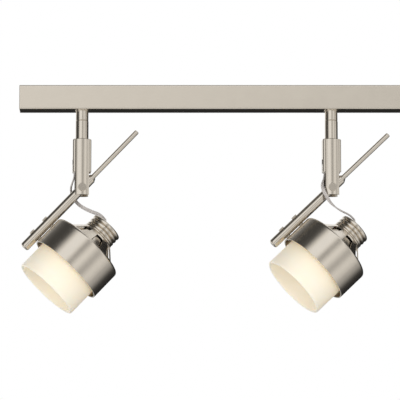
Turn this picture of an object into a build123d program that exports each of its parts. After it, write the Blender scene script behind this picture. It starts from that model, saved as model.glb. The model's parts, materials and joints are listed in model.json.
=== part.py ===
from build123d import *
import math
import os

# Two-lamp track lighting fixture.
# A folded steel rail hangs from the ceiling and carries two swivelling stems.
# Each stem ends in a fork, and an arm tilts in the fork and holds a spot head.
#
# Frame, in millimetres: origin on the ceiling plane, midway between the stems.
# +X runs along the rail towards the feed cap, +Y towards its rear, +Z up.

# Rail
rail_width = 25.0
rail_height = 31.7
sheet = 1.2
lip_width = 5.0
edge_radius = 1.6
rail_left = -237.7
rail_right = 246.0
end_cap_lip = 2.8
feed_cap_length = 18.0
spigot_length = 12.0
cap_wall = 1.5
stem_spacing = 320.1

cap_edge_radius = 0.8
cap_screw_inset = 6.0
cap_screw_z = -15.0
cap_screw_radius = 1.5
cap_screw_head = (2.8, 1.6)
cap_screw_length = 5.0

# Mounting bar, in the slot between the rail's top lips
bar_length = 150.0
bar_width = 14.0
bar_thickness = 2.0
supply_slot = (24.0, 9.0)
ceiling_screw_spacing = 88.9
ceiling_screw_radius = 2.3
ear_x = 60.0
ear_width = 14.0
ear_gap = 0.2
ear_below_screw = 6.0
rail_screw_z = -10.0
rail_screw_radius = 2.0
rail_screw_head = (3.8, 2.2)
rail_screw_length = 6.0
ground_screw_x = 24.0

# Wiring in the rail
block_length = 30.0
block_width = 16.0
block_height = 12.0
pole_pitch = 5.0
pole_bore = 1.6
clamp_radius = 1.5
clamp_depth = 4.0
clamp_slot = (0.5, 3.0)
wire_radius = 1.0
wire_pair = 1.6

# Swivel: the threaded neck and nipple, the collar and the stem tube
collar_radius = 8.1
collar_bottom = -45.0
collar_flange = (0.7, 1.0)
neck_radius = 6.0
neck_top = -25.2
collar_nut_size = (16.0, 3.5)
nipple_radius = 4.75
nipple_top = -19.2
swivel_washer = (7.4, 0.8)
swivel_nut_size = (13.0, 4.0)
swivel_clearance = 0.05
swivel_gap = 0.3
thread_gap = 0.02
stem_radius = 8.3
stem_bore = 3.3
stem_wall = 2.0
stem_web = 3.0
stem_bottom = -69.2
stem_edge = 0.5

# Fork: a middle block between two cheeks
block_half_width = 11.85
block_half_depth = 6.5
block_corner = 2.5
block_top_radius = 2.0
block_spigot = 8.0
fork_block_bottom = -112.5
slot_half_depth = 3.5
slot_top = -95.7
cheek_top = -70.2
cheek_bottom = -142.6
cheek_half_width = 8.8
cheek_crown = 9.6
cheek_blank = 10.0
tongue_height = 1.2
tongue_half_width = 6.3
tongue_end_z = -131.8
block_wire_bore = 2.9
cheek_screw_radius = 1.1
cheek_screw_head = (1.8, 1.2)
cheek_screw_sink = 2.6
cheek_screw_x = 4.5
cheek_screw_z = -85.2
cheek_thread = 2.0

# Tilt pivot, where the arm crosses the fork
pivot_z = -133.2
pivot_radius = 2.5
pivot_head_radius = 5.2
pivot_head_height = 1.5

# Each head as it is aimed at rest, in degrees: how far its arm leans from upright,
# and how far its fork is turned about the stem, which brings the glass forward
arm_lean = {"left": 43.1, "right": 45.7}
fork_turn = {"left": 6.0, "right": 8.0}

# Arm: t runs along the arm from the pivot, up towards the handle,
# and n square to it, towards the head
arm_radius = 6.1
arm_bore = 4.0
arm_low_t = -107.4
arm_plug_t = -104.6
plug_length = 8.0
arm_high_t = 17.0
ferrule_top_t = 21.2
ferrule_length = 9.0
handle_radius = 3.05
handle_top_t = 104.0
washer_flat = 5.5
band_screw_t = (-62.0, -85.0)
band_screw_radius = 1.9
band_screw_head = (3.7, 2.1)
band_screw_sink = 0.5
spacer_radius = 3.0
band_nut_size = (6.8, 2.0)
head_offset = 57.6

# Spot head, around an axis parallel to the arm
band_radius = 50.8
band_wall = 1.5
band_front_t = -91.1
band_back_t = -48.7
band_edge_radius = 4.0
band_back_bore = 39.0
cone_wide_radius = 40.0
cone_narrow_radius = 21.0
cone_top_t = -30.2
cone_wall = 1.7
vent_count = 8
vent_half_angle = 12.0
vent_start_angle = 11.0
plate_thickness = 1.2
plate_bore = 6.0
shield_gap = 4.2
shield_wall = 0.8
shield_low_t = -44.5
cap_groove_radius = 19.4
cap_wall_radial = 2.5
cap_dome = 0.8
rib_radius = 21.5
rib_count = 3
rib_pitch = 5.4
lead_hole_offset = -4.7
lead_hole_radius = 3.4
socket_radius = 13.5
socket_front_t = -44.0
pin_offset = 5.0
pin_hole = (2.6, 9.0)
lamp_neck = (9.5, 9.0)
lamp_face_radius = 25.0
lamp_face_t = -91.0
glass_radius = 44.0
glass_wall = 3.6
glass_front_t = -127.2
glass_back_t = -54.0
glass_bore_radius = 17.0

# Leaf springs between the band and the glass
leaf = 0.6
leaf_half_width = 4.5
leaf_ends_t = (-58.0, -83.0)
leaf_flat_t = (-68.0, -73.0)

# Lamp lead, from the bushing in the fork to the finned cap: points from the tilt pivot,
# where y is how far the lead stands off its arm, in front of it or behind it
lead_radius = 2.0
bushing_size = (4.2, 6.8)
bushing_corner = 1.2
bushing_bore = 1.7
bushing_height = 11.0
lead_route = [
    (-9.6, 0, 20.0),
    (-9.6, 0, 13.5),
    (-12.2, 4.0, 6.5),
    (-13.6, 8.8, 0.5),
    (-12.0, 11.2, -6.5),
    (-8.0, 10.8, -13.5),
    (-3.0, 7.8, -20.0),
    (3.4, 4.6, -24.8),
    (10.4, 2.2, -28.6),
    (16.6, 0.8, -31.2),
    (22.2, 0, -33.4),
    (27.3, 0, -37.6),
    (30.8, 0, -42.2),
    (28.2, 0, -49.2),
]

os.makedirs("parts", exist_ok=True)


def write(piece, name):
    """Label a finished piece and write it out."""
    piece.label = name
    export_step(piece, f"parts/{name}.step")


def finish(builder, name):
    """Write out a piece that stays where it is modelled."""
    write(builder.part, name)


def finish_turned(builder, name, side):
    """Write out a piece of a head, turned about its stem as the head is aimed."""
    stem_axis = Axis((stem_xs[side], 0, 0), (0, 0, 1))
    write(builder.part.rotate(stem_axis, fork_turn[side]), f"{name}_{side}")


def outline(plane, points):
    """A closed straight-sided face on a plane."""
    with BuildSketch(plane) as face:
        with BuildLine():
            Polyline(*points, close=True)
        make_face()
    return face.sketch


def hexagon(plane, across_flats, bore):
    """The face of a hexagon nut."""
    with BuildSketch(plane) as face:
        RegularPolygon(radius=across_flats / 2, side_count=6, major_radius=False)
        Circle(bore, mode=Mode.SUBTRACT)
    return face.sketch


def bend_radii(points):
    """The largest tangent arc that the two runs at each corner leave room for."""
    route = [Vector(*p) for p in points]
    radii = []
    for before, corner, after in zip(route, route[1:], route[2:]):
        run_in, run_out = corner - before, after - corner
        turn = math.radians(run_in.get_angle(run_out))
        shorter = min(run_in.length, run_out.length)
        radii.append(0.45 * shorter / math.tan(turn / 2))
    return radii


def cord_tube(points, radius):
    """A round cord along straight runs joined by tangent arcs."""
    with BuildPart() as tube:
        with BuildLine() as path:
            FilletPolyline(*points, radius=bend_radii(points))
        start = path.line
        with BuildSketch(Plane(origin=start @ 0, z_dir=start % 0)):
            Circle(radius)
        sweep()
    return tube.part


def upright(x):
    """The plane through a stem's axis: local x is the radius and local y is up."""
    return Plane(origin=(x, 0, 0), x_dir=(1, 0, 0), z_dir=(0, -1, 0))


def disc(plane, radius, height):
    """A plain round disc on a plane, as of a washer or a screw's head or shank."""
    with BuildPart() as made:
        with BuildSketch(plane):
            Circle(radius)
        extrude(amount=height)
    return made.part


def rear_plane(x, y, z):
    """A plane that faces the rear, for holes and screws in the rear wall."""
    return Plane(origin=(x, y, z), x_dir=(1, 0, 0), z_dir=(0, 1, 0))


# ---------------------------------------------------------------- rail

inner_half = rail_width / 2 - sheet
floor_z = sheet - rail_height
stem_xs = {"left": -stem_spacing / 2, "right": stem_spacing / 2}
cap_screw_xs = (rail_left + cap_screw_inset, rail_right - cap_screw_inset)

with BuildPart() as rail_channel:
    with BuildSketch(Plane.YZ.offset(rail_left)):
        with Locations((0, -rail_height / 2)):
            outer = Rectangle(rail_width, rail_height)
        fillet(outer.vertices().group_by(Axis.Z)[0], edge_radius)
        with Locations((0, (floor_z - sheet) / 2)):
            Rectangle(2 * inner_half, -floor_z - sheet, mode=Mode.SUBTRACT)
        with Locations((0, -sheet / 2)):
            Rectangle(rail_width - 2 * lip_width, sheet, mode=Mode.SUBTRACT)
    extrude(amount=rail_right - rail_left)
    with Locations(*[(x, 0, floor_z) for x in stem_xs.values()]):
        Hole(neck_radius + swivel_clearance, depth=2 * sheet)
    with Locations(*[rear_plane(x, rail_width / 2, rail_screw_z) for x in (-ear_x, ear_x)]):
        Hole(rail_screw_radius + 0.2, depth=2 * sheet)
    with Locations(*[rear_plane(x, rail_width / 2, cap_screw_z) for x in cap_screw_xs]):
        Hole(cap_screw_radius + 0.1, depth=2 * sheet)
finish(rail_channel, "rail_channel")

spigot_width = 2 * inner_half - 0.3
spigot_top = -sheet - 0.15
spigot_bottom = floor_z + 0.15
spigot_centre_z = (spigot_top + spigot_bottom) / 2
spigot_height = spigot_top - spigot_bottom

with BuildPart() as end_cap_left:
    with BuildSketch(Plane.YZ.offset(rail_left - end_cap_lip)):
        with Locations((0, -rail_height / 2)):
            RectangleRounded(rail_width, rail_height, edge_radius)
    extrude(amount=end_cap_lip)
    fillet(end_cap_left.faces().sort_by(Axis.X)[0].edges(), cap_edge_radius)
    with BuildSketch(Plane.YZ.offset(rail_left)):
        with Locations((0, spigot_centre_z)):
            Rectangle(spigot_width, spigot_height)
            Rectangle(spigot_width - 2 * cap_wall, spigot_height - 2 * cap_wall, mode=Mode.SUBTRACT)
    extrude(amount=spigot_length)
    with Locations(rear_plane(cap_screw_xs[0], inner_half, cap_screw_z)):
        Hole(cap_screw_radius, depth=2 * cap_wall)
finish(end_cap_left, "end_cap_left")

with BuildPart() as feed_cap_right:
    with BuildSketch(Plane.YZ.offset(rail_right)):
        with Locations((0, -rail_height / 2)):
            RectangleRounded(rail_width, rail_height, edge_radius)
    extrude(amount=feed_cap_length)
    fillet(feed_cap_right.faces().sort_by(Axis.X)[-1].edges(), cap_edge_radius)
    with BuildSketch(Plane.YZ.offset(rail_right)):
        with Locations((0, spigot_centre_z)):
            Rectangle(spigot_width, spigot_height)
    extrude(amount=-spigot_length)
    with BuildSketch(Plane.YZ.offset(rail_right - spigot_length)):
        with Locations((0, spigot_centre_z)):
            Rectangle(spigot_width - 2 * cap_wall, spigot_height - 2 * cap_wall)
    extrude(amount=spigot_length + feed_cap_length - 2 * cap_wall, mode=Mode.SUBTRACT)
    with Locations(rear_plane(cap_screw_xs[1], inner_half, cap_screw_z)):
        Hole(cap_screw_radius, depth=2 * cap_wall)
finish(feed_cap_right, "feed_cap_right")

with BuildPart() as end_cap_screws:
    for x in cap_screw_xs:
        seat = rear_plane(x, rail_width / 2, cap_screw_z)
        add(disc(seat, *cap_screw_head))
        add(disc(seat, cap_screw_radius - thread_gap, -cap_screw_length))
finish(end_cap_screws, "end_cap_screws")

# The bar screws to the ceiling box. Its front hooks catch under the front lip,
# and its rear ears take the two rail screws.
ear_top = -sheet - ear_gap
ear_low = rail_screw_z - ear_below_screw
ear_face = inner_half - ear_gap

with BuildPart() as mounting_bar:
    with BuildSketch(Plane.XY.offset(-bar_thickness)):
        Rectangle(bar_length, bar_width)
        with GridLocations(ceiling_screw_spacing, 0, 2, 1):
            Circle(ceiling_screw_radius, mode=Mode.SUBTRACT)
        SlotOverall(*supply_slot, mode=Mode.SUBTRACT)
    extrude(amount=bar_thickness)
    for x in (-ear_x, ear_x):
        with BuildSketch(Plane.XY.offset(ear_top - bar_thickness)):
            with Locations((x, 0)):
                Rectangle(ear_width, 2 * ear_face - 1)
                Rectangle(ear_width, bar_width - 2, mode=Mode.SUBTRACT)
        extrude(amount=bar_thickness)
        with BuildSketch(Plane.XY.offset(ear_low)):
            with Locations((x, ear_face - bar_thickness / 2)):
                Rectangle(ear_width, bar_thickness)
        extrude(amount=ear_top - ear_low)
        with Locations(rear_plane(x, ear_face, rail_screw_z)):
            Hole(rail_screw_radius, depth=2 * bar_thickness)
    with Locations((ground_screw_x, 0, 0)):
        Hole(rail_screw_radius, depth=bar_thickness)
finish(mounting_bar, "mounting_bar")

with BuildPart() as mounting_screws:
    for x in (-ear_x, ear_x):
        seat = rear_plane(x, rail_width / 2, rail_screw_z)
        add(disc(seat, *rail_screw_head))
        add(disc(seat, rail_screw_radius - thread_gap, -rail_screw_length))
finish(mounting_screws, "mounting_screws")

with BuildPart() as ground_screw:
    seat = Plane(origin=(ground_screw_x, 0, -bar_thickness), z_dir=(0, 0, -1))
    add(disc(seat, *rail_screw_head))
    add(disc(seat, rail_screw_radius - thread_gap, 0.2 - bar_thickness))
finish(ground_screw, "ground_screw")

# Three-pole connector block on the rail's floor
block_base = floor_z + 0.1
wire_z = block_base + block_height / 2
pole_ys = (-pole_pitch, 0, pole_pitch)
clamp_xs = (-block_length / 4, block_length / 4)

with BuildPart() as terminal_block:
    with BuildSketch(Plane.XY.offset(block_base)):
        RectangleRounded(block_length, block_width, 1)
    extrude(amount=block_height)
    with BuildSketch(Plane.YZ.offset(-block_length / 2)):
        with Locations(*[(y, wire_z) for y in pole_ys]):
            Circle(pole_bore)
    extrude(amount=block_length, mode=Mode.SUBTRACT)
    with Locations(*[(x, y, block_base + block_height) for x in clamp_xs for y in pole_ys]):
        Hole(clamp_radius, depth=clamp_depth)
finish(terminal_block, "terminal_block")

clamp_seat = Plane.XY.offset(block_base + block_height - clamp_depth)
with BuildPart() as terminal_screws:
    for x in clamp_xs:
        for y in pole_ys:
            with BuildSketch(clamp_seat):
                with Locations((x, y)):
                    Circle(clamp_radius - 0.05)
                    Rectangle(*clamp_slot, mode=Mode.SUBTRACT)
            extrude(amount=clamp_depth - 1)
            with BuildSketch(clamp_seat):
                with Locations((x, y)):
                    Circle(clamp_radius - 0.05)
            extrude(amount=clamp_depth - 2)
finish(terminal_screws, "terminal_screws")


def rail_wire(side, pole):
    """One conductor, from the connector block to the mouth of a stem. side and pole are +1 or -1."""
    stem_x = side * stem_spacing / 2
    route = [
        (side * (block_length / 2 - 5), pole * pole_pitch, wire_z),
        (side * 38, pole * 4.6, wire_z - 1.8),
        (side * 74, pole * 5.2, wire_z - 0.6),
        (side * 108, pole * 4.0, wire_z - 1.2),
        (stem_x - side * 21, pole * 2.8, wire_z + 2.6),
        (stem_x - side * 13.5, pole * 2.1, -11.0),
        (stem_x - side * 5.5, pole * 1.8, -7.2),
        (stem_x - side * 0.2, pole * wire_pair, -12.0),
        (stem_x, pole * wire_pair, nipple_top + 0.3),
    ]
    return cord_tube(route, wire_radius)


with BuildPart() as rail_leads:
    add([rail_wire(side, pole) for side in (-1, 1) for pole in (-1, 1)])
finish(rail_leads, "rail_leads")

# ---------------------------------------------------------------- heads

# Seen from the front, the left lead passes behind its arm and the right lead in front.
lead_sides = {"left": 1, "right": -1}

for side, stem_x in stem_xs.items():
    stem_plane = upright(stem_x)
    stem_axis = Axis((stem_x, 0, 0), (0, 0, 1))
    collar_bore = nipple_radius + swivel_clearance
    flange_radius = collar_radius + collar_flange[0]
    flange_low = -rail_height - collar_flange[1]

    with BuildPart() as stem_collar:
        revolve(
            outline(
                stem_plane,
                [
                    (collar_bore, collar_bottom),
                    (collar_radius - 0.4, collar_bottom),
                    (collar_radius, collar_bottom + 0.4),
                    (collar_radius, flange_low - 0.2),
                    (flange_radius, flange_low),
                    (flange_radius, -rail_height),
                    (neck_radius, -rail_height),
                    (neck_radius, neck_top),
                    (collar_bore, neck_top),
                ],
            ),
            axis=stem_axis,
        )
    finish(stem_collar, f"stem_collar_{side}")

    collar_nut_flats, collar_nut_height = collar_nut_size
    nut_plane = Plane(origin=(stem_x, 0, floor_z))
    with BuildPart() as collar_nut:
        extrude(hexagon(nut_plane, collar_nut_flats, neck_radius + thread_gap), amount=collar_nut_height)
    finish(collar_nut, f"collar_nut_{side}")

    with BuildPart() as swivel_nut:
        washer_radius, washer_height = swivel_washer
        swivel_nut_flats, swivel_nut_height = swivel_nut_size
        washer_base = neck_top + 0.1
        nut_base = washer_base + washer_height + 0.05
        with BuildSketch(Plane(origin=(stem_x, 0, washer_base))):
            Circle(washer_radius)
            Circle(collar_bore, mode=Mode.SUBTRACT)
        extrude(amount=washer_height)
        nut_face = hexagon(Plane(origin=(stem_x, 0, nut_base)), swivel_nut_flats, nipple_radius + thread_gap)
        extrude(nut_face, amount=swivel_nut_height)
    finish_turned(swivel_nut, "swivel_nut", side)

    # A threaded nipple above, and a thin tube that the fork's spigot fills below
    stem_top = collar_bottom - swivel_gap
    web_bottom = stem_top - stem_web
    with BuildPart() as stem_tube:
        revolve(
            outline(
                stem_plane,
                [
                    (stem_bore, nipple_top),
                    (nipple_radius, nipple_top),
                    (nipple_radius, stem_top),
                    (stem_radius - stem_edge, stem_top),
                    (stem_radius, stem_top - stem_edge),
                    (stem_radius, stem_bottom),
                    (stem_radius - stem_wall, stem_bottom),
                    (stem_radius - stem_wall, web_bottom),
                    (stem_bore, web_bottom),
                ],
            ),
            axis=stem_axis,
        )
    finish_turned(stem_tube, "stem_tube", side)

    with BuildPart() as stem_wires:
        with BuildSketch(Plane(origin=(stem_x, 0, nipple_top - 0.2))):
            with Locations((0, -wire_pair), (0, wire_pair)):
                Circle(wire_radius)
        extrude(amount=slot_top - nipple_top)
    finish_turned(stem_wires, "stem_wires", side)

    # The fork's middle block: wire bore from the top, and a slot that the handle tilts into
    screw_xs = (stem_x - cheek_screw_x, stem_x + cheek_screw_x)
    spigot_end = stem_bottom + block_spigot
    with BuildPart() as swivel_block:
        with BuildSketch(Plane(origin=(stem_x, 0, fork_block_bottom))):
            RectangleRounded(2 * block_half_width, 2 * block_half_depth, block_corner)
        extrude(amount=stem_bottom - fork_block_bottom)
        fillet(swivel_block.faces().sort_by(Axis.Z)[-1].edges(), block_top_radius)
        spigot_radius = stem_radius - stem_wall - swivel_clearance
        add(disc(Plane(origin=(stem_x, 0, stem_bottom)), spigot_radius, block_spigot))
        add(
            disc(Plane(origin=(stem_x, 0, spigot_end)), block_wire_bore, slot_top - spigot_end),
            mode=Mode.SUBTRACT,
        )
        with BuildSketch(Plane(origin=(stem_x, 0, fork_block_bottom))):
            Rectangle(2 * block_half_width, 2 * slot_half_depth)
        extrude(amount=slot_top - fork_block_bottom, mode=Mode.SUBTRACT)
        with Locations(*[rear_plane(x, block_half_depth, cheek_screw_z) for x in screw_xs]):
            Hole(cheek_screw_radius + 0.05, depth=2 * block_half_depth)
    finish_turned(swivel_block, "swivel_block", side)

    # A cheek is a flat-backed convex bar, with a raised tongue that ends round the pivot
    sagitta = cheek_crown - block_half_depth
    cheek_curve = (cheek_half_width**2 + sagitta**2) / (2 * sagitta)
    curve_centre = cheek_crown - cheek_curve
    cheek_height = cheek_top - cheek_bottom
    tongue_crown = cheek_crown + tongue_height
    for place, facing in (("front", -1), ("rear", 1)):
        foot = Plane(origin=(stem_x, 0, cheek_bottom))
        outward = Plane(origin=(stem_x, facing * tongue_crown, pivot_z), z_dir=(0, facing, 0))
        with BuildPart() as cheek:
            with BuildSketch(foot):
                with Locations((0, facing * curve_centre)):
                    Circle(cheek_curve + tongue_height)
                with Locations((0, facing * (block_half_depth + cheek_blank / 2))):
                    Rectangle(3 * cheek_half_width, cheek_blank, mode=Mode.INTERSECT)
            extrude(amount=cheek_height)
            with BuildSketch(upright(stem_x)):
                with Locations((0, tongue_end_z)):
                    Circle(tongue_half_width)
                with Locations((0, (cheek_top + tongue_end_z) / 2)):
                    Rectangle(2 * tongue_half_width, cheek_top - tongue_end_z)
            extrude(amount=2 * tongue_crown, both=True, mode=Mode.INTERSECT)
            with BuildSketch(foot):
                with Locations((0, facing * curve_centre)):
                    Circle(cheek_curve)
                with Locations((0, facing * (block_half_depth + cheek_blank / 2))):
                    Rectangle(3 * cheek_half_width, cheek_blank, mode=Mode.INTERSECT)
            extrude(amount=cheek_height)
            with Locations(outward):
                CounterBoreHole(pivot_radius, pivot_head_radius + 0.1, tongue_height, depth=cheek_blank)
            if place == "rear":
                sink_radius = cheek_screw_head[0] + 0.05
                screw_bore = cheek_screw_radius + 0.05
                with Locations(*[rear_plane(x, tongue_crown, cheek_screw_z) for x in screw_xs]):
                    CounterBoreHole(screw_bore, sink_radius, cheek_screw_sink, depth=cheek_blank)
            else:
                with Locations(*[rear_plane(x, -block_half_depth, cheek_screw_z) for x in screw_xs]):
                    Hole(cheek_screw_radius, depth=cheek_thread)
        finish_turned(cheek, f"{place}_cheek", side)

    head_seat_y = tongue_crown - cheek_screw_sink
    with BuildPart() as cheek_screws:
        for x in screw_xs:
            screw_seat = rear_plane(x, head_seat_y, cheek_screw_z)
            with BuildSketch(screw_seat):
                Circle(cheek_screw_head[0])
                RegularPolygon(radius=0.9, side_count=6, mode=Mode.SUBTRACT)
            extrude(amount=cheek_screw_head[1])
            add(disc(screw_seat, cheek_screw_head[0], cheek_screw_head[1] / 3))
            shank = head_seat_y + block_half_depth + cheek_thread - 0.2
            add(disc(screw_seat, cheek_screw_radius - thread_gap, -shank))
    finish_turned(cheek_screws, "cheek_screws", side)

    # Shoulder screw with a plain disc head, and the matching sleeve nut behind
    pivot_seat = cheek_crown + 0.01
    with BuildPart() as pivot_screw:
        add(disc(rear_plane(stem_x, -pivot_seat, pivot_z), pivot_head_radius, -pivot_head_height))
        fillet(pivot_screw.faces().sort_by(Axis.Y)[0].edges(), 0.4)
        shoulder = 2 * pivot_seat - 0.2
        add(disc(rear_plane(stem_x, -pivot_seat, pivot_z), pivot_radius - thread_gap, shoulder))
        with BuildSketch(rear_plane(stem_x, pivot_seat, pivot_z)):
            Circle(pivot_head_radius)
            RegularPolygon(radius=1.6, side_count=6, mode=Mode.SUBTRACT)
        extrude(amount=pivot_head_height)
    finish_turned(pivot_screw, "pivot_screw", side)

    bushing_low = lead_route[0][2] + pivot_z + 0.1
    with BuildPart() as lead_bushing:
        with BuildSketch(Plane(origin=(stem_x, 0, bushing_low))):
            with Locations((lead_route[0][0], 0)):
                RectangleRounded(*bushing_size, bushing_corner)
                Circle(bushing_bore, mode=Mode.SUBTRACT)
        extrude(amount=bushing_height)
    finish_turned(lead_bushing, "lead_bushing", side)

    # ------------------------------------------------ arm: local x is n and local z is t
    lean = math.radians(arm_lean[side])
    up_arm = (math.sin(lean), 0, math.cos(lean))
    off_arm = (math.cos(lean), 0, -math.sin(lean))
    pivot = (stem_x, 0, pivot_z)
    arm_plane = Plane(origin=pivot, x_dir=off_arm, z_dir=up_arm)
    arm_section = Plane(origin=pivot, x_dir=off_arm, z_dir=(0, -1, 0))
    arm_axis = Axis(pivot, up_arm)
    screw_planes = [
        Plane(origin=arm_plane.from_local_coords((0, 0, t)), x_dir=(0, 1, 0), z_dir=off_arm)
        for t in band_screw_t
    ]
    head_seat_n = band_screw_sink - arm_radius
    screw_hole = band_screw_radius + 0.05

    with BuildPart() as arm_tube:
        with BuildSketch(arm_plane.offset(arm_plug_t)):
            Circle(arm_radius)
            Circle(arm_bore, mode=Mode.SUBTRACT)
        extrude(amount=arm_high_t - arm_plug_t)
        for facing in (-1, 1):
            flat = rear_plane(stem_x, facing * washer_flat, pivot_z)
            add(disc(flat, pivot_head_radius, facing * 2), mode=Mode.SUBTRACT)
        with Locations(rear_plane(stem_x, arm_radius, pivot_z)):
            Hole(pivot_radius + 0.03)
        for plane in screw_planes:
            add(disc(plane.offset(-arm_radius), screw_hole, 2 * arm_radius), mode=Mode.SUBTRACT)
            add(disc(plane.offset(head_seat_n), band_screw_head[0] + 0.2, -1), mode=Mode.SUBTRACT)
    finish_turned(arm_tube, "arm_tube", side)

    # A rounded plug in the tube's lower end, and the handle's ferrule in its upper end
    plug_radius = arm_bore - thread_gap
    ferrule_bore = handle_radius + thread_gap
    with BuildPart() as arm_end_caps:
        with BuildSketch(arm_section):
            with BuildLine():
                Line((0, arm_low_t), (arm_radius - 3.0, arm_low_t))
                ThreePointArc(
                    (arm_radius - 3.0, arm_low_t),
                    (arm_radius - 0.85, arm_low_t + 0.75),
                    (arm_radius, arm_plug_t),
                )
                Polyline(
                    (arm_radius, arm_plug_t),
                    (plug_radius, arm_plug_t),
                    (plug_radius, arm_plug_t + plug_length),
                    (0, arm_plug_t + plug_length),
                    (0, arm_low_t),
                )
            make_face()
        revolve(axis=arm_axis)
        revolve(
            outline(
                arm_section,
                [
                    (ferrule_bore, arm_high_t - ferrule_length),
                    (plug_radius, arm_high_t - ferrule_length),
                    (plug_radius, arm_high_t),
                    (arm_radius, arm_high_t),
                    (arm_radius - 2.2, ferrule_top_t),
                    (ferrule_bore, ferrule_top_t),
                ],
            ),
            axis=arm_axis,
        )
    finish_turned(arm_end_caps, "arm_end_caps", side)

    handle_foot_t = arm_high_t - ferrule_length + 1
    with BuildPart() as aim_handle:
        add(disc(arm_plane.offset(handle_foot_t), handle_radius, handle_top_t - handle_foot_t))
        fillet(aim_handle.edges().sort_by(Axis.Z)[-1], 1.2)
    finish_turned(aim_handle, "aim_handle", side)

    washer_outer = block_half_depth - 0.1
    with BuildPart() as friction_washers:
        for facing in (-1, 1):
            with BuildSketch(rear_plane(stem_x, facing * washer_flat, pivot_z)):
                Circle(pivot_head_radius - 0.2)
                Circle(pivot_radius + 0.05, mode=Mode.SUBTRACT)
            extrude(amount=facing * (washer_outer - washer_flat))
    finish_turned(friction_washers, "friction_washers", side)

    # Two screws clamp the shade band to the arm, each with its spacer and nut
    band_near_n = head_offset - band_radius
    nut_n = band_near_n + band_wall + 0.2
    nut_flats, nut_height = band_nut_size
    nut_bore = band_screw_radius + thread_gap
    with BuildPart() as band_screws:
        for plane in screw_planes:
            shank = nut_n + nut_height + 0.6 - head_seat_n
            add(disc(plane.offset(head_seat_n), band_screw_head[0], -band_screw_head[1]))
            add(disc(plane.offset(head_seat_n), band_screw_radius, shank))
            with BuildSketch(plane.offset(arm_radius)):
                Circle(spacer_radius)
                Circle(nut_bore, mode=Mode.SUBTRACT)
            extrude(amount=band_near_n - arm_radius)
            extrude(hexagon(plane.offset(nut_n), nut_flats, nut_bore), amount=nut_height)
    finish_turned(band_screws, "band_screws", side)

    # ------------------------------------------------ spot head, turned about its own axis
    head_centre = arm_plane.from_local_coords((head_offset, 0, 0))
    head_plane = Plane(origin=head_centre, x_dir=off_arm, z_dir=up_arm)
    head_section = Plane(origin=head_centre, x_dir=off_arm, z_dir=(0, -1, 0))
    head_axis = Axis(head_centre, up_arm)

    with BuildPart() as shade_band:
        inner_radius = band_radius - band_wall
        inner_edge = band_edge_radius - band_wall
        arc_centre = (band_radius - band_edge_radius, band_back_t - band_edge_radius)
        with BuildSketch(head_section):
            with BuildLine():
                Line((band_radius, band_front_t), (band_radius, arc_centre[1]))
                CenterArc(arc_centre, band_edge_radius, 0, 90)
                Polyline(
                    (arc_centre[0], band_back_t),
                    (band_back_bore, band_back_t),
                    (band_back_bore, band_back_t - band_wall),
                    (arc_centre[0], band_back_t - band_wall),
                )
                CenterArc(arc_centre, inner_edge, 0, 90)
                Polyline(
                    (inner_radius, arc_centre[1]),
                    (inner_radius, band_front_t),
                    (band_radius, band_front_t),
                )
            make_face()
        revolve(axis=head_axis)
        for plane in screw_planes:
            add(disc(plane.offset(band_near_n - 1), screw_hole, band_wall + 2), mode=Mode.SUBTRACT)
    finish_turned(shade_band, "shade_band", side)

    with BuildPart() as vent_cone:
        revolve(
            outline(
                head_section,
                [
                    (cone_wide_radius, band_back_t),
                    (cone_narrow_radius, cone_top_t),
                    (cone_narrow_radius - cone_wall, cone_top_t),
                    (cone_wide_radius - cone_wall, band_back_t),
                ],
            ),
            axis=head_axis,
        )
        half_window = math.radians(vent_half_angle)
        near_r, far_r = cone_narrow_radius + 2, cone_wide_radius - 2.5
        window = [
            (r * math.cos(turn), r * math.sin(turn))
            for r, turn in (
                (near_r, -half_window),
                (far_r, -half_window),
                (far_r, half_window),
                (near_r, half_window),
            )
        ]
        with BuildSketch(head_plane.offset(band_back_t - 1)):
            with PolarLocations(0, vent_count, start_angle=vent_start_angle):
                Polygon(*window, align=None)
        extrude(amount=cone_top_t - band_back_t + 2, mode=Mode.SUBTRACT)
    finish_turned(vent_cone, "vent_cone", side)

    # Plate across the cone's narrow end, with a flared heat shield that follows the cone inside
    plate_top_t = cone_top_t + plate_thickness
    shield_top = cone_narrow_radius - shield_gap
    shield_low = shield_top + cone_top_t - shield_low_t
    with BuildPart() as base_plate:
        with BuildSketch(head_plane.offset(cone_top_t)):
            Circle(cone_narrow_radius + 0.5)
            Circle(plate_bore, mode=Mode.SUBTRACT)
        extrude(amount=plate_thickness)
        revolve(
            outline(
                head_section,
                [
                    (shield_top, cone_top_t),
                    (shield_low, shield_low_t),
                    (shield_low - shield_wall, shield_low_t),
                    (shield_top - shield_wall, cone_top_t),
                ],
            ),
            axis=head_axis,
        )
    finish_turned(base_plate, "base_plate", side)

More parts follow.
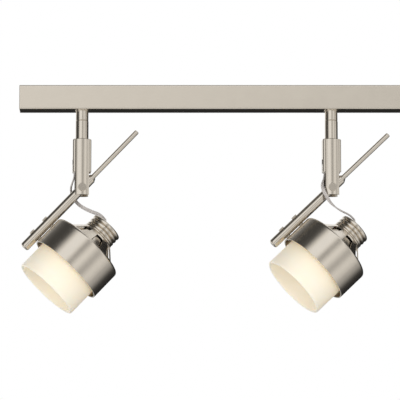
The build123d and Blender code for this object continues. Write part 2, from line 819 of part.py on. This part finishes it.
    # Cast cap: stacked rounded ribs, a shallow domed top, and a hole for the lead
    cap_top_t = plate_top_t + rib_count * rib_pitch
    cap_bore = cap_groove_radius - cap_wall_radial
    cap_ceiling_t = cap_top_t - cap_wall_radial
    with BuildPart() as finned_cap:
        with BuildSketch(head_section):
            with BuildLine():
                for rib in range(rib_count):
                    low_t = plate_top_t + rib * rib_pitch
                    ThreePointArc(
                        (cap_groove_radius, low_t),
                        (rib_radius, low_t + rib_pitch / 2),
                        (cap_groove_radius, low_t + rib_pitch),
                    )
                ThreePointArc(
                    (cap_groove_radius, cap_top_t),
                    (cap_groove_radius / 2, cap_top_t + 0.75 * cap_dome),
                    (0, cap_top_t + cap_dome),
                )
                Polyline(
                    (0, cap_top_t + cap_dome),
                    (0, cap_ceiling_t),
                    (cap_bore, cap_ceiling_t),
                    (cap_bore, plate_top_t),
                    (cap_groove_radius, plate_top_t),
                )
            make_face()
        revolve(axis=head_axis)
        with BuildSketch(head_plane.offset(cap_top_t + 2)):
            with Locations((lead_hole_offset, 0)):
                Circle(lead_hole_radius)
        extrude(amount=-5, mode=Mode.SUBTRACT)
    finish_turned(finned_cap, "finned_cap", side)

    pin_hole_radius, pin_hole_depth = pin_hole
    with BuildPart() as lamp_socket:
        with BuildSketch(head_plane.offset(cone_top_t)):
            Circle(socket_radius)
        extrude(amount=socket_front_t - cone_top_t)
        with BuildSketch(head_plane.offset(socket_front_t)):
            with Locations((0, -pin_offset), (0, pin_offset)):
                Circle(pin_hole_radius)
        extrude(amount=pin_hole_depth, mode=Mode.SUBTRACT)
        chamfer(lamp_socket.faces().sort_by(head_axis)[0].edges().sort_by(SortBy.LENGTH)[-1], 1)
    finish_turned(lamp_socket, "lamp_socket", side)

    # Reflector lamp: a neck that widens to its face, and two pins with thicker ends
    lamp_base_t = socket_front_t - 0.1
    neck_width, neck_length = lamp_neck
    with BuildPart() as lamp:
        with BuildSketch(head_section):
            with BuildLine():
                Polyline((0, lamp_base_t), (neck_width, lamp_base_t), (neck_width, lamp_base_t - neck_length))
                Spline(
                    (neck_width, lamp_base_t - neck_length),
                    (17.5, lamp_base_t - 22),
                    (lamp_face_radius - 1, lamp_base_t - 37),
                    (lamp_face_radius, lamp_face_t + 3),
                )
                Polyline(
                    (lamp_face_radius, lamp_face_t + 3),
                    (lamp_face_radius - 2, lamp_face_t),
                    (0, lamp_face_t),
                    (0, lamp_base_t),
                )
            make_face()
        revolve(axis=head_axis)
        with BuildSketch(head_plane.offset(lamp_base_t)):
            with Locations((0, -pin_offset), (0, pin_offset)):
                Circle(1.5)
        extrude(amount=7.2)
        with BuildSketch(head_plane.offset(lamp_base_t + 4)):
            with Locations((0, -pin_offset), (0, pin_offset)):
                Circle(2.4)
        extrude(amount=3.2)
    finish_turned(lamp, "lamp", side)

    with BuildPart() as glass_shade:
        glass_bore = glass_radius - glass_wall
        rim_radius = glass_wall / 2
        rim_centre = (glass_radius - rim_radius, glass_front_t + rim_radius)
        with BuildSketch(head_section):
            with BuildLine():
                Line((glass_radius, rim_centre[1]), (glass_radius, glass_back_t))
                Polyline(
                    (glass_radius, glass_back_t),
                    (glass_bore_radius, glass_back_t),
                    (glass_bore_radius, glass_back_t - glass_wall),
                    (glass_bore, glass_back_t - glass_wall),
                    (glass_bore, rim_centre[1]),
                )
                CenterArc(rim_centre, rim_radius, 180, 180)
            make_face()
        revolve(axis=head_axis)
    finish_turned(glass_shade, "glass_shade", side)

    # Three leaf springs, bowed inwards, grip the glass inside the band
    outer_r = band_radius - band_wall - 0.45
    inner_r = glass_radius + 0.1
    bow = [
        (outer_r, leaf_ends_t[0]),
        (inner_r + leaf, leaf_flat_t[0]),
        (inner_r + leaf, leaf_flat_t[1]),
        (outer_r, leaf_ends_t[1]),
        (outer_r - leaf, leaf_ends_t[1]),
        (inner_r, leaf_flat_t[1] - 0.4),
        (inner_r, leaf_flat_t[0] + 0.4),
        (outer_r - leaf, leaf_ends_t[0]),
    ]
    with BuildPart() as glass_springs:
        for turn in (0, 120, 240):
            extrude(outline(head_section, bow).rotate(head_axis, turn), amount=leaf_half_width, both=True)
    finish_turned(glass_springs, "glass_springs", side)

    route = [(stem_x + x, lead_sides[side] * y, pivot_z + z) for x, y, z in lead_route]
    with BuildPart() as lamp_lead:
        add(cord_tube(route, lead_radius))
    finish_turned(lamp_lead, "lamp_lead", side)
    print(f"lead_{side} radii", [round(r, 1) for r in bend_radii(route)])
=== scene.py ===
import json
import math

import bmesh
import bpy
from mathutils import Matrix, Vector


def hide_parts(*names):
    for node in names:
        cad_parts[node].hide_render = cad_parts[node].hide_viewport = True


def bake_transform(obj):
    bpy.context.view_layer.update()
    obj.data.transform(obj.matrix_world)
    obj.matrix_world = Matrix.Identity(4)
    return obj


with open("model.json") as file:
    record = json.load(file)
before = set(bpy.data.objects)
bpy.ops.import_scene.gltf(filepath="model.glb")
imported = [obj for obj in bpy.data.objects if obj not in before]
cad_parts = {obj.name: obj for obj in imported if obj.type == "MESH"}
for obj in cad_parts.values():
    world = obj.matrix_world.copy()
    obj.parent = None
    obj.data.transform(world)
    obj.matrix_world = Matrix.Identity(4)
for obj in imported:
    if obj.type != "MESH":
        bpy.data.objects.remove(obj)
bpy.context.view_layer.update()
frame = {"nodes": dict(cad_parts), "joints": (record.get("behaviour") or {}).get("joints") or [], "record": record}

# The looks of a two-lamp track lighting fixture: brushed nickel, opal glass and the two lamp leads.
# Everything is in metres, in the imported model's frame: +X along the rail, +Y to its rear, +Z up.

MM = 0.001
SIDES = ("left", "right")

JOINT_PLACE = {joint["name"]: Vector(joint["pos_m"]) for joint in frame["joints"]}
PIVOT = {side: JOINT_PLACE[f"tilt_{side}"] for side in SIDES}
TILT_AXIS = {joint["name"]: joint["axis"] for joint in frame["joints"]}
# How far each fork is turned about its stem, as its tilt axis shows.
FORK_TURN = {side: math.atan2(-TILT_AXIS[f"tilt_{side}"][0], TILT_AXIS[f"tilt_{side}"][1]) for side in SIDES}

# The arms and the heads' axes lean to the right: OFF_ARM runs square to them, from arm to head.
ARM_LEAN = {"left": math.radians(43.1), "right": math.radians(45.7)}
LEAN = (ARM_LEAN["left"] + ARM_LEAN["right"]) / 2
OFF_ARM = Vector((math.cos(LEAN), 0, -math.sin(LEAN)))


# ---------------------------------------------------------------- material helpers


class Shader:
    """One material's node tree around a Principled shader."""

    def __init__(self, name, **sockets):
        self.material = bpy.data.materials.new(name)
        self.material.use_nodes = True
        self.tree = self.material.node_tree
        self.principled = self.tree.nodes["Principled BSDF"]
        for socket, value in sockets.items():
            self.principled.inputs[socket.replace("_", " ")].default_value = value

    def node(self, kind, settings=None, inputs=None):
        """A new node, with its settings, and its inputs as values or as sockets to link from."""
        made = self.tree.nodes.new(kind)
        for name, value in (settings or {}).items():
            setattr(made, name, value)
        for name, value in (inputs or {}).items():
            if isinstance(value, bpy.types.NodeSocket):
                self.tree.links.new(value, made.inputs[name])
            else:
                made.inputs[name].default_value = value
        return made

    def object_point(self, lean=0.0, stretch=(1.0, 1.0, 1.0)):
        """The point on the object, seen in axes turned about Y by lean and stretched along each of them."""
        place = self.node("ShaderNodeTexCoord").outputs["Object"]
        turned = self.node(
            "ShaderNodeMapping",
            {"vector_type": "TEXTURE"},
            {"Vector": place, "Rotation": (0, lean, 0), "Scale": stretch},
        )
        return turned.outputs["Vector"]

    def noise(self, point, scale, detail=2.0, roughness=0.5):
        made = self.node(
            "ShaderNodeTexNoise",
            inputs={"Vector": point, "Scale": scale, "Detail": detail, "Roughness": roughness},
        )
        return made.outputs["Fac"]

    def spread(self, value, low, high, start=0.25, end=0.75):
        """value, which lies mostly between start and end, taken to the range from low to high."""
        made = self.node(
            "ShaderNodeMapRange",
            inputs={"Value": value, "From Min": start, "From Max": end, "To Min": low, "To Max": high},
        )
        return made.outputs["Result"]

    def add(self, first, second):
        return self.node("ShaderNodeMath", {"operation": "ADD"}, {0: first, 1: second}).outputs[0]

    def between(self, share, first, second):
        """A colour between two colours, by share."""
        made = self.node("ShaderNodeMix", {"data_type": "RGBA"}, {0: share, 6: first, 7: second})
        return made.outputs[2]

    def link(self, socket, value):
        self.tree.links.new(value, self.principled.inputs[socket])

    def bump(self, height, distance, strength):
        inputs = {"Height": height, "Distance": distance, "Strength": strength}
        return self.node("ShaderNodeBump", inputs=inputs).outputs["Normal"]


def shade(colour, share):
    """A colour scaled by share, as RGBA."""
    return (*[channel * share for channel in colour[:3]], 1.0)


def brushed_metal(name, colour, roughness, lean=0.0, stretch=(1, 1, 1), grain=0.06):
    """Satin plate: fine brush lines along the long axes of stretch, over a slow cloudiness."""
    metal = Shader(name, Metallic=1.0)
    lines = metal.noise(metal.object_point(lean, stretch), 1.0, 2.0, 0.5)
    cloud = metal.noise(metal.object_point(), 55.0, 2.0)
    tone = metal.add(metal.spread(lines, 0, 0.5), metal.spread(cloud, 0, 0.5))
    metal.link("Base Color", metal.between(tone, shade(colour, 0.95), shade(colour, 1.04)))
    rough = metal.add(
        metal.spread(lines, roughness - grain / 2, roughness + grain / 2),
        metal.spread(cloud, -0.01, 0.02),
    )
    metal.link("Roughness", rough)
    return metal.material


def plain(name, colour, roughness, metallic=0.0, scale=400.0, depth=0.02 * MM, **sockets):
    """A moulded or cast surface: a fine tooth in the normal and a slow change in tone and gloss."""
    surface = Shader(name, Metallic=metallic, **sockets)
    tooth = surface.noise(surface.object_point(), scale, 3.0)
    cloud = surface.noise(surface.object_point(), 60.0, 2.0)
    surface.link("Base Color", surface.between(cloud, shade(colour, 0.93), shade(colour, 1.05)))
    surface.link("Roughness", surface.spread(tooth, roughness - 0.06, roughness + 0.06))
    surface.link("Normal", surface.bump(tooth, depth, 0.5))
    return surface.material


# ---------------------------------------------------------------- materials, by the record's slots

NICKEL = (0.72, 0.665, 0.585)
FINE = 0.35 * MM
LONG = 40 * MM

along_rail = {"stretch": (LONG, FINE, FINE)}
along_stem = {"stretch": (FINE, FINE, LONG)}
along_arm = {"lean": -LEAN, "stretch": (LONG, FINE, FINE)}
round_head = {"lean": -LEAN, "stretch": (FINE, LONG, LONG)}

rail_nickel = brushed_metal("rail_nickel", NICKEL, 0.2, **along_rail)
stem_nickel = brushed_metal("stem_nickel", NICKEL, 0.15, **along_stem)
arm_nickel = brushed_metal("arm_nickel", NICKEL, 0.17, **along_arm)
satin_nickel = brushed_metal("satin_nickel", NICKEL, 0.19, **round_head)
screw_nickel = brushed_metal("screw_nickel", shade(NICKEL, 0.95), 0.2, stretch=(FINE, LONG, FINE))
cast_nickel = plain("cast_nickel", NICKEL, 0.14, metallic=1.0, scale=150.0, depth=0.002 * MM)
zinc_steel = plain("zinc_steel", (0.6, 0.61, 0.62), 0.38, metallic=1.0, scale=900.0)
spring_steel = plain("spring_steel", (0.5, 0.5, 0.52), 0.3, metallic=1.0)
brass = plain("brass", (0.78, 0.6, 0.3), 0.3, metallic=1.0)
green_screw = plain("green_screw", (0.08, 0.35, 0.14), 0.35)
white_plastic = plain("white_plastic", (0.85, 0.84, 0.8), 0.45)
wire_insulation = plain("wire_insulation", (0.8, 0.78, 0.74), 0.4)
fibre_washer = plain("fibre_washer", (0.25, 0.2, 0.16), 0.85, scale=1500.0, depth=0.05 * MM)
ceramic = plain("ceramic", (0.88, 0.86, 0.8), 0.55, scale=1200.0, depth=0.05 * MM)


# Where the glass's peach tint starts and is full, along the head's axis from the tilt pivot.
PEACH_TINT = (-112 * MM, -88 * MM)


def opal_glass(side):
    """Cased opal glass with an acid-etched skin: milky, warm, and peach-tinted towards the band, with a faint
    painted glow that brightens it though it is no lamp.
    """
    glass = Shader(
        f"opal_glass_{side}",
        Subsurface_Weight=0.5,
        Subsurface_Radius=(0.012, 0.009, 0.006),
        Subsurface_Scale=1.0,
        Coat_Weight=0.12,
        Coat_Roughness=0.35,
        IOR=1.5,
        # Painted light: a faint warm emission makes the shade glow as if lit, though the shade is no lamp.
        Emission_Color=(1.0, 0.88, 0.72, 1),
        Emission_Strength=0.14,
    )
    lean = ARM_LEAN[side]
    turn = FORK_TURN[side]
    along = (math.sin(lean) * math.cos(turn), math.sin(lean) * math.sin(turn), math.cos(lean))
    place = glass.node("ShaderNodeTexCoord").outputs["Object"]
    seen = glass.node("ShaderNodeVectorMath", {"operation": "DOT_PRODUCT"}, {0: place, 1: along})
    at_pivot = PIVOT[side].dot(Vector(along))
    tint_low, tint_high = (at_pivot + t for t in PEACH_TINT)
    warmth = glass.spread(seen.outputs["Value"], 0, 1, tint_low, tint_high)
    cloud = glass.noise(glass.object_point(), 28.0, 3.0)
    etch = glass.noise(glass.object_point(), 1800.0, 2.0)
    milk = glass.between(cloud, (0.9, 0.83, 0.7, 1), (0.93, 0.87, 0.75, 1))
    glass.link("Base Color", glass.between(warmth, milk, (0.96, 0.82, 0.64, 1)))
    glass.link("Roughness", glass.spread(etch, 0.4, 0.52))
    return glass.material


def lamp_glass():
    """The lamp's pressed front and neck."""
    glass = Shader("lamp_glass", Metallic=0.0, IOR=1.5, Coat_Weight=0.6, Coat_Roughness=0.06)
    ripple = glass.noise(glass.object_point(), 260.0, 2.0)
    glass.link("Base Color", glass.between(ripple, (0.62, 0.62, 0.6, 1), (0.82, 0.82, 0.8, 1)))
    glass.link("Roughness", glass.spread(ripple, 0.1, 0.2))
    glass.link("Normal", glass.bump(ripple, 0.2 * MM, 0.5))
    return glass.material


def clear_lead():
    """Clear vinyl over tinned wire: it looks light grey with a cool cast."""
    vinyl = Shader("clear_lead", IOR=1.5, Transmission_Weight=0.35)
    cloud = vinyl.noise(vinyl.object_point(), 160.0, 2.0)
    vinyl.link("Base Color", vinyl.between(cloud, (0.66, 0.63, 0.62, 1), (0.78, 0.75, 0.74, 1)))
    vinyl.link("Roughness", vinyl.spread(cloud, 0.25, 0.38))
    return vinyl.material


FINISHES = {
    "rail_nickel": rail_nickel,
    "stem_nickel": stem_nickel,
    "satin_nickel": satin_nickel,
    "cast_nickel": cast_nickel,
    "screw_nickel": screw_nickel,
    "zinc_steel": zinc_steel,
    "spring_steel": spring_steel,
    "green_screw": green_screw,
    "brass": brass,
    "white_plastic": white_plastic,
    "wire_insulation": wire_insulation,
    "clear_lead": clear_lead(),
    "fibre_washer": fibre_washer,
    "ceramic": ceramic,
    "lamp_glass": lamp_glass(),
}
GLASS_FINISHES = {f"glass_shade_{side}": opal_glass(side) for side in SIDES}
# The arm's own pieces are brushed along the arm, and the stem's along the stem.
LEANING_NODES = [f"{name}_{side}" for name in ("arm_tube", "arm_end_caps", "aim_handle") for side in SIDES]


def paint_frame():
    """Gives each CAD node the finish of its material slot."""
    for subpart in frame["record"]["subparts"]:
        name = subpart["node"]
        if name in GLASS_FINISHES:
            finish = GLASS_FINISHES[name]
        elif name in LEANING_NODES:
            finish = arm_nickel
        else:
            finish = FINISHES[subpart["material_slot"]]
        mesh = frame["nodes"][name].data
        mesh.materials.clear()
        mesh.materials.append(finish)


# ---------------------------------------------------------------- lamp leads

# The route's points from the tilt pivot, in metres. y is how far the lead stands off its arm.
LEAD_ROUTE = [
    (-0.0096, 0, 0.0200),
    (-0.0096, 0, 0.0135),
    (-0.0122, 0.004, 0.0065),
    (-0.0136, 0.0088, 0.0005),
    (-0.0120, 0.0112, -0.0065),
    (-0.0080, 0.0108, -0.0135),
    (-0.0030, 0.0078, -0.0200),
    (0.0034, 0.0046, -0.0248),
    (0.0104, 0.0022, -0.0286),
    (0.0166, 0.0008, -0.0312),
    (0.0222, 0, -0.0334),
    (0.0273, 0, -0.0376),
    (0.0308, 0, -0.0422),
    (0.0282, 0, -0.0492),
]
# The left lead passes behind its arm and the right one in front.
LEAD_SIDE = {"left": 1, "right": -1}
# How far the flat lead has turned at each point of the route, in degrees: at 0 its width runs
# front to back, and at 90 its broad side faces the front.
LEAD_TURN = {
    "left": (0, 0, 5, 20, 45, 70, 85, 90, 90, 90, 90, 90, 90, 90),
    "right": (0, 10, 40, 75, 95, 80, 45, 15, 5, 0, 0, 0, 0, 0),
}
LEAD_WIDTH = 4.6 * MM
LOBE_RADIUS = 0.95 * MM
WEB_HALF = 0.5 * MM
CORE_RADIUS = 0.38 * MM


def route_line(side):
    """The lead's smooth line: the points of a NURBS curve through the route."""
    curve = bpy.data.curves.new(f"lead_route_{side}", "CURVE")
    curve.dimensions = "3D"
    curve.resolution_u = 12
    spline = curve.splines.new("NURBS")
    spline.points.add(len(LEAD_ROUTE) - 1)
    turned = Matrix.Rotation(FORK_TURN[side], 3, "Z")
    for point, (x, y, z) in zip(spline.points, LEAD_ROUTE):
        point.co = (*(PIVOT[side] + turned @ Vector((x, LEAD_SIDE[side] * y, z))), 1)
    spline.order_u = 3
    spline.use_endpoint_u = True
    carrier = bpy.data.objects.new(curve.name, curve)
    mesh = bpy.data.meshes.new_from_object(carrier)
    line = [vertex.co.copy() for vertex in mesh.vertices]
    bpy.data.objects.remove(carrier)
    bpy.data.meshes.remove(mesh)
    bpy.data.curves.remove(curve)
    return line


def lead_frames(line, turns):
    """Along the line: each point, the lead's width direction there, and its thin direction."""
    frames = []
    for index, point in enumerate(line):
        ahead = line[min(index + 1, len(line) - 1)]
        behind = line[max(index - 1, 0)]
        forward = (ahead - behind).normalized()
        back = Vector((0, 1, 0))
        back = (back - back.dot(forward) * forward).normalized()
        beside = forward.cross(back)
        place = index / (len(line) - 1) * (len(turns) - 1)
        before = min(int(place), len(turns) - 2)
        turn = math.radians(turns[before] + (turns[before + 1] - turns[before]) * (place - before))
        width = back * math.cos(turn) + beside * math.sin(turn)
        frames.append((point, width, forward.cross(width)))
    return frames


def sweep(name, frames, outline):
    """A closed mesh with the outline, as (width, thin) pairs, carried along the frames."""
    shape = bmesh.new()
    rings = []
    for point, width, thin in frames:
        rings.append([shape.verts.new(point + width * across + thin * out) for across, out in outline])
    count = len(outline)
    for ring, following in zip(rings, rings[1:]):
        for i in range(count):
            j = (i + 1) % count
            shape.faces.new((ring[i], ring[j], following[j], following[i]))
    shape.faces.new(rings[0][::-1])
    shape.faces.new(rings[-1])
    bmesh.ops.recalc_face_normals(shape, faces=shape.faces)
    for face in shape.faces:
        face.smooth = len(face.verts) == 4
    mesh = bpy.data.meshes.new(name)
    shape.to_mesh(mesh)
    shape.free()
    made = bpy.data.objects.new(name, mesh)
    bpy.context.scene.collection.objects.link(made)
    return made


def circle_outline(radius, across=0.0, steps=10):
    return [
        (across + radius * math.cos(turn), radius * math.sin(turn))
        for turn in (2 * math.pi * step / steps for step in range(steps))
    ]


def twin_outline(steps=14):
    """The section of twin lead: two round lobes joined by a thin web."""
    centre = LEAD_WIDTH / 2 - LOBE_RADIUS
    waist = math.asin(WEB_HALF / LOBE_RADIUS)
    points = []
    for facing in (1, -1):
        for step in range(steps):
            turn = waist - math.pi + (2 * math.pi - 2 * waist) * step / (steps - 1)
            across, out = LOBE_RADIUS * math.cos(turn), LOBE_RADIUS * math.sin(turn)
            points.append((facing * (centre + across), facing * out))
    return points


def lamp_lead(side):
    line = route_line(side)
    frames = lead_frames(line, LEAD_TURN[side])
    jacket = sweep(f"twin_lead_{side}", frames, twin_outline())
    centre = LEAD_WIDTH / 2 - LOBE_RADIUS
    cores = []
    for number, across in enumerate((-centre, centre), 1):
        cores.append(sweep(f"lead_core_{number}_{side}", frames, circle_outline(CORE_RADIUS, across)))
    jacket.data.materials.append(FINISHES["clear_lead"])
    for core in cores:
        core.data.materials.append(FINISHES["zinc_steel"])
    for piece in (jacket, *cores):
        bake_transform(piece)
    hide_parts(f"lamp_lead_{side}")


# ---------------------------------------------------------------- studio


def area_light(name, place, aim, size, power, colour):
    """A soft light that lights the matt surfaces, and that the metal doesn't show."""
    data = bpy.data.lights.new(name, "AREA")
    data.shape = "RECTANGLE"
    data.size, data.size_y = size
    data.energy = power
    data.color = colour
    light = bpy.data.objects.new(name, data)
    light.location = place
    light.rotation_euler = (Vector(aim) - Vector(place)).to_track_quat("-Z", "Y").to_euler()
    light.visible_glossy = False
    light.visible_camera = False
    bpy.context.scene.collection.objects.link(light)
    return light


# Each fill light's name, place, the point it faces, side, power in watts and colour.
FILL_LIGHTS = [
    ("lower_fill", (1.6, -2.2, -1.9), (0, 0, -0.2), 2.0, 30, (1.0, 0.94, 0.86)),
    ("left_fill", (-2.4, -1.6, -0.9), (0, 0, -0.2), 2.0, 26, (1.0, 0.95, 0.88)),
    ("front_fill", (-1.2, -3.0, 0.6), (0, 0, -0.15), 2.5, 12, (1.0, 0.95, 0.88)),
]

# What the metal reflects, by the angle in degrees round the head's axis: 0 is to the lower right,
# 90 to the front, 180 to the upper left and 270 to the rear. The values are brightness.
STUDIO_RING = [
    (0, 0.62),
    (10, 0.74),
    (22, 0.9),
    (33, 0.75),
    (44, 0.42),
    (55, 0.66),
    (68, 1.05),
    (78, 0.8),
    (88, 0.32),
    (94, 0.55),
    (100, 0.95),
    (112, 1.2),
    (124, 1.2),
    (134, 0.85),
    (143, 0.3),
    (152, 0.05),
    (214, 0.04),
    (230, 1.1),
    (257, 1.2),
    (267, 0.02),
    (278, 0.02),
    (322, 0.03),
    (336, 0.22),
    (350, 0.5),
]


def studio_world():
    """Soft boxes and dark flags round the object for its reflections, on a white background."""
    world = bpy.data.worlds.new("studio")
    bpy.context.scene.world = world
    world.use_nodes = True
    tree = world.node_tree
    tree.nodes.clear()

    def node(kind, settings=None, inputs=None):
        made = tree.nodes.new(kind)
        for name, value in (settings or {}).items():
            setattr(made, name, value)
        for name, value in (inputs or {}).items():
            if isinstance(value, bpy.types.NodeSocket):
                tree.links.new(value, made.inputs[name])
            else:
                made.inputs[name].default_value = value
        return made

    def math_node(operation, first, second=0.0):
        return node("ShaderNodeMath", {"operation": operation}, {0: first, 1: second}).outputs[0]

    def along(axis):
        direction = node("ShaderNodeTexCoord").outputs["Generated"]
        product = node("ShaderNodeVectorMath", {"operation": "DOT_PRODUCT"}, {0: direction, 1: axis})
        return product.outputs["Value"]

    angle = math_node("ARCTAN2", along((0, -1, 0)), along(OFF_ARM))
    share = math_node("FRACT", math_node("ADD", math_node("DIVIDE", angle, 2 * math.pi), 1.0))
    ring = node("ShaderNodeValToRGB", inputs={"Fac": share})
    stops = ring.color_ramp.elements
    while len(stops) < len(STUDIO_RING):
        stops.new(0.5)
    for stop, (degrees, level) in zip(stops, STUDIO_RING):
        stop.position = degrees / 360
        stop.color = (level, level * 0.985, level * 0.96, 1)
    ring.color_ramp.interpolation = "B_SPLINE"
    lit = node("ShaderNodeBackground", {}, {"Color": ring.outputs["Color"], "Strength": 1.0})
    white = node("ShaderNodeBackground", {}, {"Color": (1, 1, 1, 1), "Strength": 1.0})
    seen = node("ShaderNodeLightPath").outputs["Is Camera Ray"]
    both = node("ShaderNodeMixShader", {}, {0: seen, 1: lit.outputs[0], 2: white.outputs[0]})
    node("ShaderNodeOutputWorld", {}, {"Surface": both.outputs[0]})


FLOOR_DROP = 6.0
FLOOR_HALF = 9.0


def studio_floor():
    """A plain pale floor, a hall's height under the ceiling."""
    mesh = bpy.data.meshes.new("floor")
    corners = [(-1, -1), (1, -1), (1, 1), (-1, 1)]
    mesh.from_pydata([(x * FLOOR_HALF, y * FLOOR_HALF, -FLOOR_DROP) for x, y in corners], [], [(0, 1, 2, 3)])
    floor = bpy.data.objects.new("floor", mesh)
    bpy.context.scene.collection.objects.link(floor)
    mesh.materials.append(plain("floor_paint", (0.9, 0.9, 0.89), 0.8, scale=40.0))
    # The studio's panels, and not the floor, are what the metal shows.
    floor.visible_glossy = False


def studio_camera():
    """A long lens a little below the fixture, looking up at it."""
    data = bpy.data.cameras.new("camera")
    data.sensor_width = 36
    data.lens = 351.5
    data.clip_end = 100
    camera = bpy.data.objects.new("camera", data)
    camera.location = (-0.0085, -4.908, -1.1023)
    aim = Vector((-0.0085, 0, -0.1483))
    camera.rotation_euler = (aim - camera.location).to_track_quat("-Z", "Y").to_euler()
    bpy.context.scene.collection.objects.link(camera)
    bpy.context.scene.camera = camera


# ---------------------------------------------------------------- build

paint_frame()
for side in SIDES:
    lamp_lead(side)

studio_floor()
studio_world()
for name, place, aim, side_length, power, colour in FILL_LIGHTS:
    area_light(name, place, aim, (side_length, side_length), power, colour)
studio_camera()
bpy.context.scene.view_settings.view_transform = "Standard"
